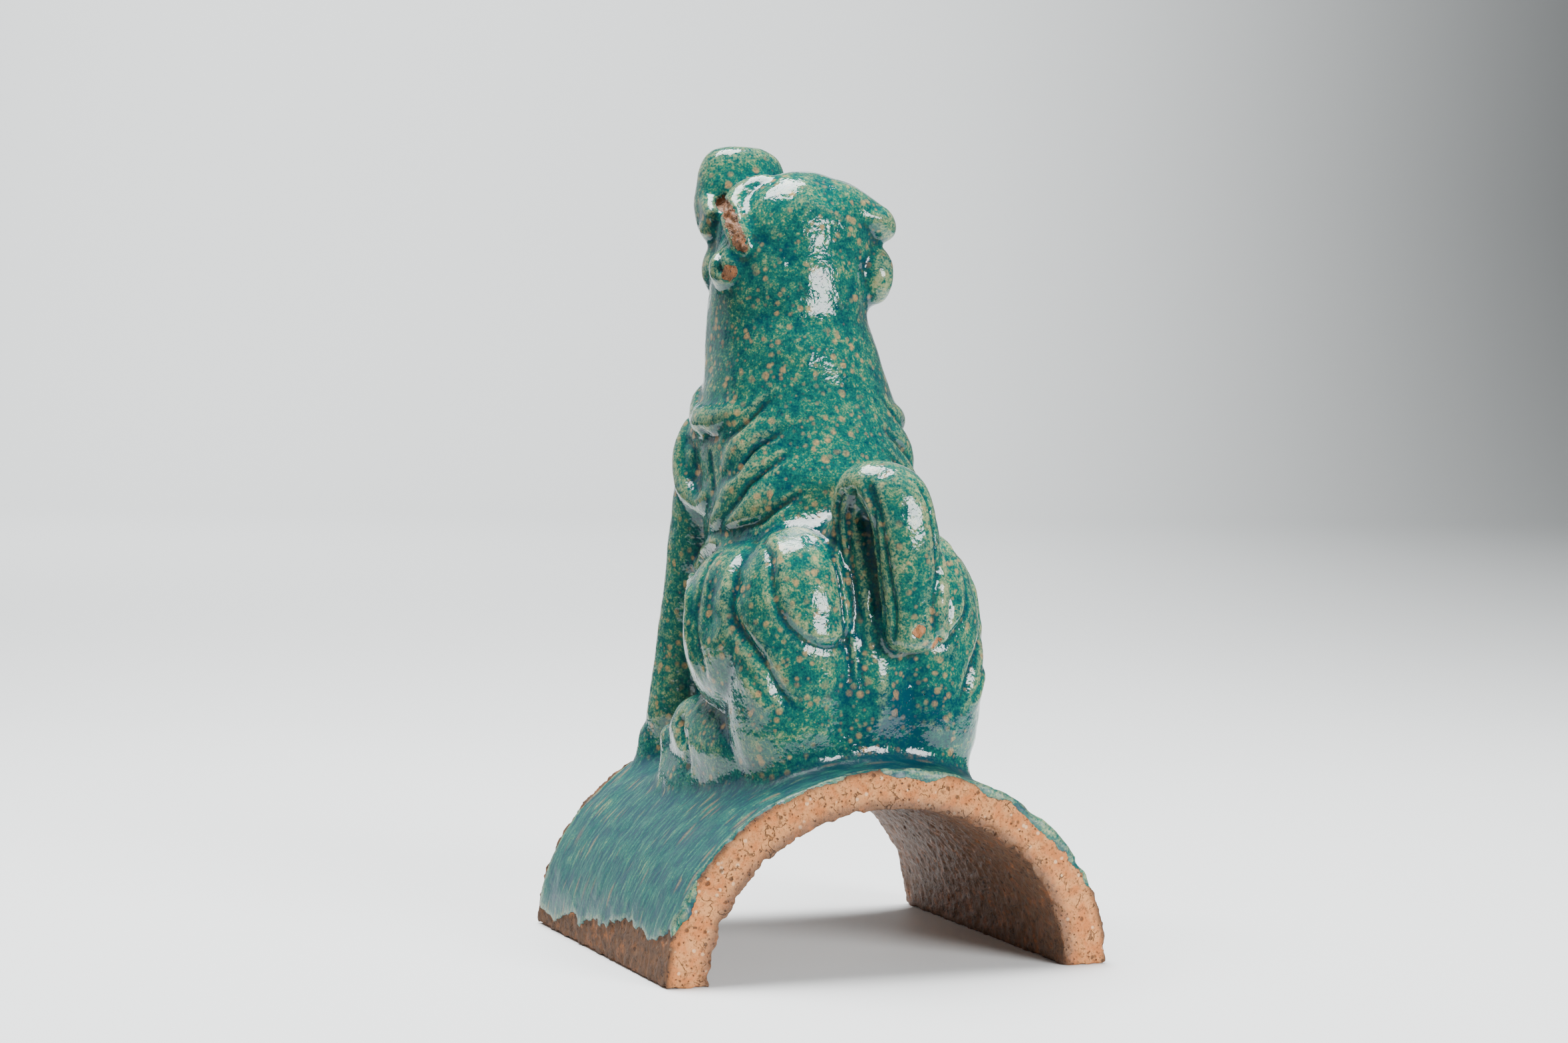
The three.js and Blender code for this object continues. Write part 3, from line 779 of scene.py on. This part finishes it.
def finishBody(body):
    relief = Relief(body)
    spongeJoints(relief)
    for side in bothSides:
        carveSide(relief, side)
    carveTail(relief)
    relief.settle(1)
    wearBody(relief)
    wearTile(relief)
    relief.settle(0)
    measures = measureGlaze(relief)
    finePoints = relief.points
    triangles = 2 * len(finePoints)
    applyModifier(body, "DECIMATE", ratio=min(1, finish["mostTriangles"] / triangles))
    points = readMesh(body.data)[0]
    tree = kdtree.KDTree(len(finePoints))
    for index, point in enumerate(finePoints.tolist()):
        tree.insert(point, index)
    tree.balance()
    measures = measures[[tree.find(point)[1] for point in points.tolist()]]
    x, y, z = points.T
    bare, vault, depth, onTile = bareTile(points)
    arc = np.arctan2(z, np.abs(x)) * 82
    setAttribute(body.data, "crease", measures[:, 0])
    setAttribute(body.data, "hollow", measures[:, 1])
    setAttribute(body.data, "pooled", measures[:, 2])
    setAttribute(body.data, "bare", measures[:, 3])
    # the bare clay is painted darker: painted shade inside the vault and low on the tile's outer face and
    # rims, where little light falls, and darker on the breaks of the ear, jowl and tail
    scarred = 0.25 + blend(z, 190, 200) * 0.45
    sooty = blend(vault, 0, 6) * 0.85 + blend(depth, 3.5, 0.5) * blend(z, 90, 85) + scarred * (depth < -4)
    setAttribute(body.data, "sooty", sooty)
    setAttribute(body.data, "onTile", blend(depth, -6, -0.5) * blend(vault, 4, 0))
    setAttribute(body.data, "runDown", np.stack([y, arc * 0.2, depth], axis=1) * mm, "FLOAT_VECTOR")
    print("relief carved,", len(body.data.polygons), "faces")


body = makeBody()
finishBody(body)
body.data.transform(Matrix.Scale(mm, 4))


# Materials

class Wire:
    def __init__(self, graph, socket):
        self.graph = graph
        self.socket = socket

    def maths(self, operation, *others, clamp=False):
        values = {i: v for i, v in enumerate((self, *others))}
        return self.graph.add("ShaderNodeMath", {"operation": operation, "use_clamp": clamp}, values)

    def __add__(self, other):
        return self.maths("ADD", other)

    __radd__ = __add__

    def __sub__(self, other):
        return self.maths("SUBTRACT", other)

    def __rsub__(self, other):
        return self * -1 + other

    def __mul__(self, other):
        return self.maths("MULTIPLY", other)

    __rmul__ = __mul__

    def clamped(self):
        return self.maths("ADD", 0.0, clamp=True)

    # 0 below low, 1 above high, with a soft step between
    def step(self, low, high):
        values = {"Value": self, "From Min": low, "From Max": high}
        return self.graph.add("ShaderNodeMapRange", {"interpolation_type": "SMOOTHSTEP"}, values)


class Graph:
    def __init__(self, name):
        self.material = bpy.data.materials.new(name)
        self.material.use_nodes = True
        self.tree = self.material.node_tree
        self.tree.nodes.clear()

    def add(self, kind, settings=None, inputs=None, output=0):
        node = self.tree.nodes.new(kind)
        for key, value in (settings or {}).items():
            if key == "stops":
                self.setStops(node.color_ramp, value)
            else:
                setattr(node, key, value)
        for key, value in (inputs or {}).items():
            if isinstance(value, Wire):
                self.tree.links.new(value.socket, node.inputs[key])
            else:
                node.inputs[key].default_value = value
        return Wire(self, node.outputs[output]) if node.outputs else None

    def setStops(self, ramp, stops):
        while len(ramp.elements) < len(stops):
            ramp.elements.new(0.5)
        for element, (place, colour) in zip(ramp.elements, stops):
            element.position = place
            element.color = (*colour, 1)

    def attribute(self, name):
        return self.add("ShaderNodeAttribute", {"attribute_name": name}, output="Fac")

    # object space, or another place, in units of `size` mm
    def scaled(self, size, shift, place=None):
        place = place or self.add("ShaderNodeTexCoord", output="Object")
        offset = (shift * mm * 31,) * 3
        moved = self.add("ShaderNodeVectorMath", {"operation": "ADD"}, {0: place, 1: offset})
        values = {0: moved, "Scale": 1 / (size * mm)}
        return self.add("ShaderNodeVectorMath", {"operation": "SCALE"}, values)

    # noise whose patches are about `size` mm across
    def noise(self, size, detail=2.0, rough=0.5, shift=0.0, place=None):
        vector = self.scaled(size, shift, place)
        values = {"Vector": vector, "Scale": 1.0, "Detail": detail, "Roughness": rough}
        return self.add("ShaderNodeTexNoise", {}, values)

    # distance to the nearest of many scattered points, about `size` mm apart
    def cells(self, size, shift=0.0):
        values = {"Vector": self.scaled(size, shift), "Scale": 1.0}
        return self.add("ShaderNodeTexVoronoi", {}, values)

    # distance to the borders between wavy cells about `size` mm across, in cell widths
    def borders(self, size, shift=0.0):
        waveValues = {"Vector": self.scaled(size / 2, shift), "Scale": 1.0}
        waves = self.add("ShaderNodeTexNoise", {}, waveValues, output="Color")
        places = {0: self.scaled(size, shift), 1: waves}
        vector = self.add("ShaderNodeVectorMath", {"operation": "ADD"}, places)
        values = {"Vector": vector, "Scale": 1.0}
        return self.add("ShaderNodeTexVoronoi", {"feature": "DISTANCE_TO_EDGE"}, values)

    # round spots of many sizes with soft edges, `most` as the widest radius in mm; some places
    # have none
    def spots(self, size, most, shift=0.0, place=None):
        values = {"Vector": self.scaled(size, shift, place), "Scale": 1.0, "Randomness": 0.9}
        far = self.add("ShaderNodeTexVoronoi", {}, values)
        chance = self.add("ShaderNodeTexVoronoi", {}, values, output="Color")
        radius = (chance - 0.32) * (most / size / 0.35)
        return 1 - (far - radius).step(-0.2, 0.12)

    def mix(self, share, first, second):
        first, second = (v if isinstance(v, Wire) else (*v, 1) for v in (first, second))
        return self.add("ShaderNodeMix", {"data_type": "RGBA"}, {0: share, 6: first, 7: second}, output=2)

    def ramp(self, value, stops):
        return self.add("ShaderNodeValToRGB", {"stops": stops}, {0: value}, output="Color")


glaze = {
    "deep": (0.001, 0.04, 0.06),
    "teal": (0.001, 0.07, 0.062),
    "turquoise": (0.003, 0.1, 0.082),
    "green": (0.02, 0.13, 0.078),
    "sage": (0.11, 0.2, 0.1),
    "pale": (0.26, 0.29, 0.15),
    "tan": (0.46, 0.26, 0.10),
    "burntAndShade": (0.04, 0.035, 0.015),
    "wornGreyAndSheen": (0.17, 0.23, 0.22),
    "pinhole": (0.01, 0.012, 0.008),
    "tone": 0.42,  # the middle of the pattern on the ramp from deep to pale
    "roughness": 0.07,
    "rougherOnTile": 0.36,
    "rougherOnClay": 0.5,
    "refraction": 1.46,
    "reliefHeight": 0.45,  # millimetres
}
clay = {
    "salmon": (0.47, 0.155, 0.042),
    "buff": (0.57, 0.25, 0.09),
    "cream": (0.72, 0.5, 0.3),
    "brown": (0.13, 0.058, 0.026),
    # the brown of the painted shade on the bare clay, and of the darker breaks
    "shadeAndScarBrown": (0.078, 0.04, 0.022),
    "pit": (0.05, 0.024, 0.013),
}


def makeGlaze():
    g = Graph("turquoiseGlaze")
    crease = g.attribute("crease")
    hollow = g.attribute("hollow")
    pooled = g.attribute("pooled")
    bare = g.attribute("bare")
    sooty = g.attribute("sooty")
    onTile = g.attribute("onTile")
    runDown = g.add("ShaderNodeAttribute", {"attribute_name": "runDown"}, output="Vector")

    # the cloudy green, from pooled blue to thin sage
    clouds = g.noise(9, detail=2.0, rough=0.5)
    mottle = g.noise(2.3, detail=3.0, rough=0.65, shift=3.0)
    grains = g.noise(0.8, detail=2.0, rough=0.6, shift=5.0)
    dappled = (clouds - 0.5) * 0.8 + (mottle - 0.5) * 1.3
    streaks = (g.noise(1.6, detail=3.0, place=runDown) - 0.5) * 1.5
    streaked = (clouds - 0.5) * 0.6 + streaks
    pattern = dappled * (1 - onTile) + streaked * onTile
    thickness = hollow * 0.14 + crease * 0.12 + pooled * 0.5 + onTile * 0.16
    tone = glaze["tone"] + pattern + (grains - 0.5) * 1.2 - thickness
    colour = g.ramp(
        tone,
        [
            (0.06, glaze["deep"]),
            (0.3, glaze["teal"]),
            (0.48, glaze["turquoise"]),
            (0.62, glaze["green"]),
            (0.78, glaze["sage"]),
            (0.95, glaze["pale"]),
        ],
    )
    # round pale spots where the glaze is thin over grit
    grouped = g.noise(17, shift=9.0).step(0.3, 0.55) * (1 - pooled * 0.5)
    spots = g.spots(3.5, 1.0, shift=2.0) + g.spots(2.4, 0.55, shift=3.0) * 0.6
    dashes = g.spots(3.0, 0.8, shift=4.0, place=runDown) * 0.45
    spots = (spots * grouped * (1 - onTile) + dashes * onTile).clamped()
    colour = g.mix(spots * (0.56 + (grains - 0.5) * 1.4), colour, glaze["tan"])
    # the tile's glaze is streaked greyer: worn glaze and a painted grey sheen of reflection
    colour = g.mix(onTile * (streaks * 0.25).clamped(), colour, glaze["wornGreyAndSheen"])
    # burnt brown glaze with painted shade in the tightest creases, pale on the sharpest edges, and dark
    # pinholes
    # painted shade: near-black brown in the tightest creases, partly burnt glaze
    colour = g.mix(crease.step(0.75, 1.0) * mottle.step(0.4, 0.6) * 0.45, colour, glaze["burntAndShade"])
    sharp = (crease * -1).step(0.45, 1.0)
    colour = g.mix(sharp * (mottle + grains).step(0.8, 1.2) * 0.5, colour, glaze["pale"])
    pins = 1 - g.cells(4.4, shift=7.0).step(0.03, 0.07)
    colour = g.mix(pins * 0.7, colour, glaze["pinhole"])

    # bare clay: cream grains and brown grit, painted shade inside the vault and low on the tile's outer
    # face, darker breaks, pits and cracks
    lumps = g.noise(5, detail=4.0, rough=0.6, shift=1.0)
    grit = g.noise(1.4, detail=3.0, rough=0.75, shift=2.0)
    clayColour = g.mix(lumps.step(0.35, 0.65), clay["salmon"], clay["buff"])
    clayColour = g.mix(grit.step(0.5, 0.66) * 0.75, clayColour, clay["brown"])
    clayColour = g.mix((1 - g.cells(4.6, shift=13.0).step(0.1, 0.2)) * 0.6, clayColour, clay["cream"])
    # painted shade inside the vault and low on the outer face, and darker breaks
    clayColour = g.mix(sooty * lumps.step(0.1, 0.5), clayColour, clay["shadeAndScarBrown"])
    pits = 1 - g.cells(1.9, shift=12.0).step(0.12, 0.24)
    cracks = (1 - g.borders(9, shift=14.0).step(0.005, 0.035)) * lumps.step(0.5, 0.6)
    holes = (pits * grit.step(0.35, 0.55) + cracks + 1 - g.cells(5.2, shift=11.0).step(0.08, 0.2)).clamped()
    clayColour = g.mix(holes * 0.8, clayColour, clay["pit"])

    # the glaze ends in a frayed edge
    edge = bare + (g.noise(1.6, detail=3.0, shift=4.0) - 0.5) * 2.2
    mask = edge.step(-0.15, 0.15)
    colour = g.mix(mask, colour, clayColour)
    ripples = g.noise(3.6, detail=2.0, shift=6.0) * 0.8 + g.noise(1.2, shift=7.0) * 0.22 - pins * 0.5
    relief = ripples * (1 - mask) + (grit * 1.5 + lumps * 1.4 - holes * 1.2) * mask
    values = {"Strength": 1.0, "Distance": glaze["reliefHeight"] * mm, "Height": relief}
    bump = g.add("ShaderNodeBump", {}, values, output="Normal")
    roughness = glaze["roughness"] + onTile * glaze["rougherOnTile"] + mask * glaze["rougherOnClay"]
    shader = g.add(
        "ShaderNodeBsdfPrincipled",
        {},
        {"Base Color": colour, "Roughness": roughness, "Normal": bump, "IOR": glaze["refraction"]},
    )
    g.add("ShaderNodeOutputMaterial", {}, {"Surface": shader})
    return g.material


body.data.materials.clear()
body.data.materials.append(makeGlaze())
body.data.shade_smooth()
print("body finished,", sum(len(p.vertices) - 2 for p in body.data.polygons), "triangles")

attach(body, "root")
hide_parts("ridge_beast_on_tile")


# Studio
studio = {
    "heading": 158.6,  # degrees; the paper runs away from the camera
    "paperLeftSpare": 0.14,  # how far the paper goes on beyond the sides of the picture
    "paperRightSpare": 0.08,
    "paperFront": 0.225,
    "paperBack": 4.1,
    "paperHeight": 1.9,
    "paperColumns": 24,
    "fillet": 1.2,
    "paperColour": (0.80, 0.82, 0.82),
    "paperPaintedShade": (0.05, 0.052, 0.052),
    "paperShade": 0.86,  # how far the painted shade darkens the far right of the paper
    "skyColour": (0.74, 0.83, 0.88),
    "skyStrength": 0.26,
}
# name: (place, aim, width, height, watts), as (right, away, up) in the camera's heading
lamps = {
    "keySoftbox": ((1.03, -1.08, 0.57), (0, 0, 0.2), 0.75, 0.5, 38),
    "topSoftbox": ((-0.25, 0.2, 1.7), (0, 0, 0.05), 1.1, 0.9, 100),
    "wallWash": ((-1.0, 1.9, 1.9), (-0.3, 4.1, 0.8), 1.0, 0.6, 95),
    "sideCard": ((-1.45, 1.9, 0.75), (0, 1.9, 0.75), 3.4, 1.3, 8),
}


# A long sheet of paper under the beast that turns up into a wall behind it, and widens as the
# picture does.
def makePaper():
    bm = bmesh.new()
    bend = studio["paperBack"] - studio["fillet"]
    ends = [bm.verts.new((0, y, 0)) for y in (-studio["paperFront"], bend)]
    bm.edges.new(ends)
    turn = bmesh.ops.spin(
        bm, geom=[ends[1]], cent=(0, bend, studio["fillet"]), axis=(1, 0, 0), angle=math.pi / 2, steps=24
    )
    top = [g for g in turn["geom_last"] if isinstance(g, bmesh.types.BMVert)][0]
    bm.edges.new((top, bm.verts.new(top.co + Vector((0, 0, studio["paperHeight"] - studio["fillet"])))))
    bmesh.ops.subdivide_edges(bm, edges=[e for e in bm.edges if e.calc_length() > 1], cuts=16)
    edges = bm.edges[:]
    for column in range(studio["paperColumns"]):
        grown = bmesh.ops.extrude_edge_only(bm, edges=edges)["geom"]
        verts = [g for g in grown if isinstance(g, bmesh.types.BMVert)]
        edges = [g for g in grown if isinstance(g, bmesh.types.BMEdge) and set(g.verts) <= set(verts)]
        bmesh.ops.translate(bm, vec=(1 / studio["paperColumns"], 0, 0), verts=verts)
    for v in bm.verts:
        leftEdge = -pictureHalf(v.co.y) - studio["paperLeftSpare"]
        rightEdge = pictureHalf(v.co.y) + studio["paperRightSpare"]
        v.co.x = leftEdge + (rightEdge - leftEdge) * v.co.x
    paper = toObject(bm, "paper")
    # the paper is painted darker towards the far right and far back: painted shade where the lamps' light
    # falls off
    right, away = readMesh(paper.data)[0].T[:2]
    reach = blend(right / pictureHalf(away), 0.05, 1.15)
    far = np.clip((away - 0.6) / 3.2, 0, 1) ** 0.7
    setAttribute(paper.data, "shade", reach * far * studio["paperShade"])
    paper.data.transform(inHeading().to_4x4())
    paper.data.shade_smooth()
    g = Graph("paperWithPaintedShade")
    colour = g.mix(g.attribute("shade"), studio["paperColour"], studio["paperPaintedShade"])
    shader = g.add("ShaderNodeBsdfPrincipled", {}, {"Base Color": colour, "Roughness": 0.6})
    g.add("ShaderNodeOutputMaterial", {}, {"Surface": shader})
    paper.data.materials.append(g.material)


# Half the width in metres that the picture takes in at a distance beyond the beast
def pictureHalf(away):
    return view["photoWidth"] / 2 / view["focalPixels"] * (view["distance"] * mm + away)


def inHeading():
    return Matrix.Rotation(math.radians(studio["heading"]), 3, "Z")


def makeLamp(name, place, aim, width, height, watts):
    data = bpy.data.lights.new(name, "AREA")
    data.shape = "RECTANGLE"
    data.size = width
    data.size_y = height
    data.energy = watts
    lamp = bpy.data.objects.new(name, data)
    bpy.context.collection.objects.link(lamp)
    place, aim = (inHeading() @ Vector(v) for v in (place, aim))
    lamp.location = place
    lamp.rotation_euler = (aim - place).to_track_quat("-Z", "Y").to_euler()


def makeSky():
    world = bpy.data.worlds.new("paleSky")
    world.use_nodes = True
    background = world.node_tree.nodes["Background"]
    background.inputs["Color"].default_value = (*studio["skyColour"], 1)
    background.inputs["Strength"].default_value = studio["skyStrength"]
    bpy.context.scene.world = world


makePaper()
makeSky()
for lampName, values in lamps.items():
    makeLamp(lampName, *values)
print("studio ready")
